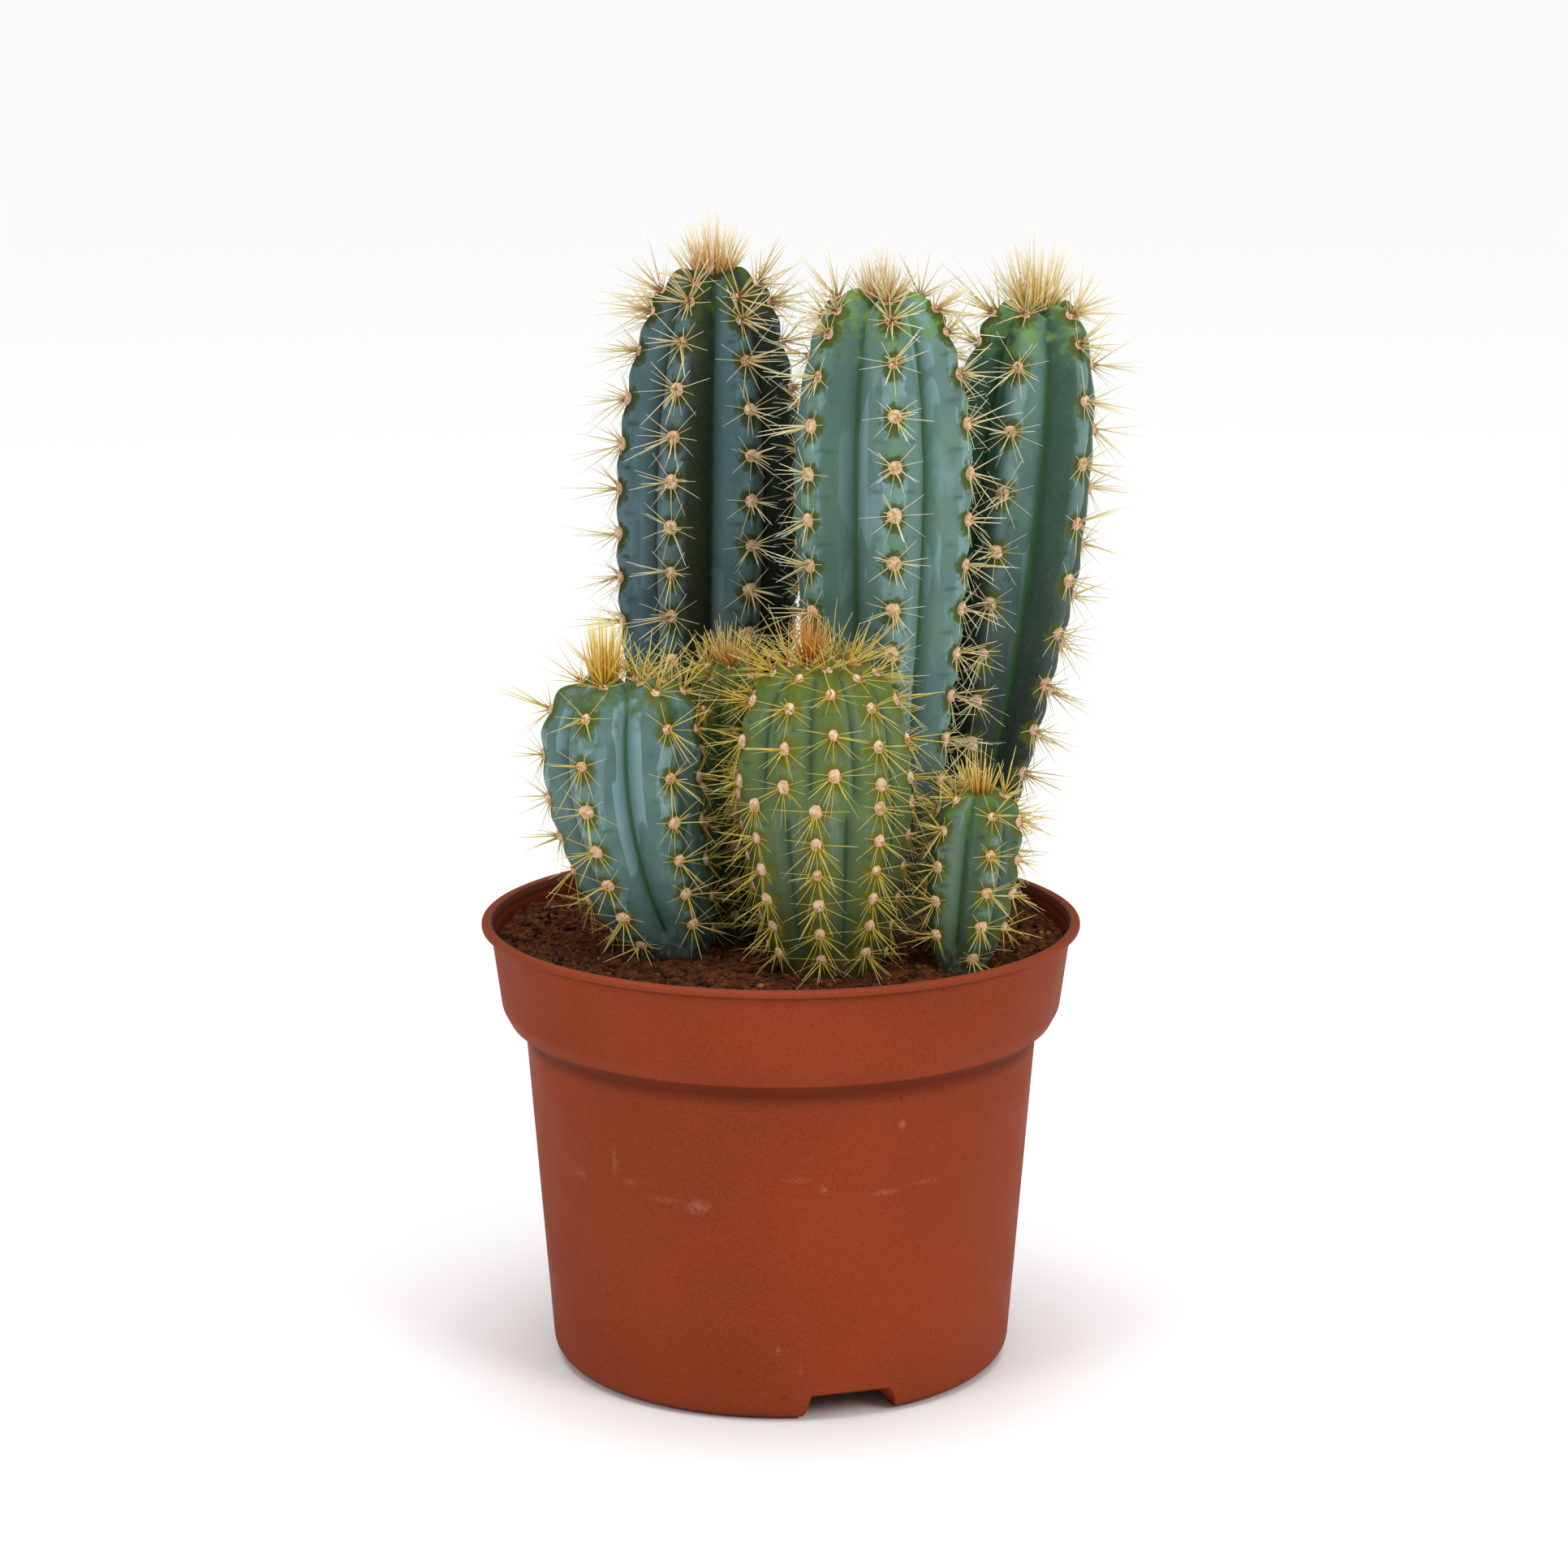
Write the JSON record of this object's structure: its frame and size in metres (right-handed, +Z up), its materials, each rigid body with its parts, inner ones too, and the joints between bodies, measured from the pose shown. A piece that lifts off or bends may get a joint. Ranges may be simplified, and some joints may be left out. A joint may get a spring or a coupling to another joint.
{
  "type": "potted blue torch cactus",
  "caption": "Clump of blue-green ribbed columnar cactus stems with golden spines, standing in peat in a round tapered plastic nursery pot.",
  "frame": {"origin": "centre of the object's footprint box, on the surface that the pot stands on", "axes": "+Z up along the pot's axis; -Y is the front, where the short stems stand; +X to the right"},
  "size_m": [0.1856, 0.17, 0.3253],
  "materials": {
    "pot_plastic": "satin",
    "peat": "matte",
    "skin_blue_dark": "satin",
    "skin_blue_pale": "satin",
    "skin_blue_green": "satin",
    "skin_green": "satin",
    "spine_straw": "satin",
    "wool": "matte"
  },
  "bodies": {
    "root": {"pot": "pot_plastic", "soil": "peat", "stem_tall_left": "skin_blue_dark", "stem_tall_middle": "skin_blue_pale", "stem_tall_right": "skin_blue_green", "stem_short_left": "skin_blue_pale", "stem_short_middle": "skin_green", "stem_short_right": "skin_blue_green", "stem_short_back": "skin_green"}
  },
  "joints": []
}
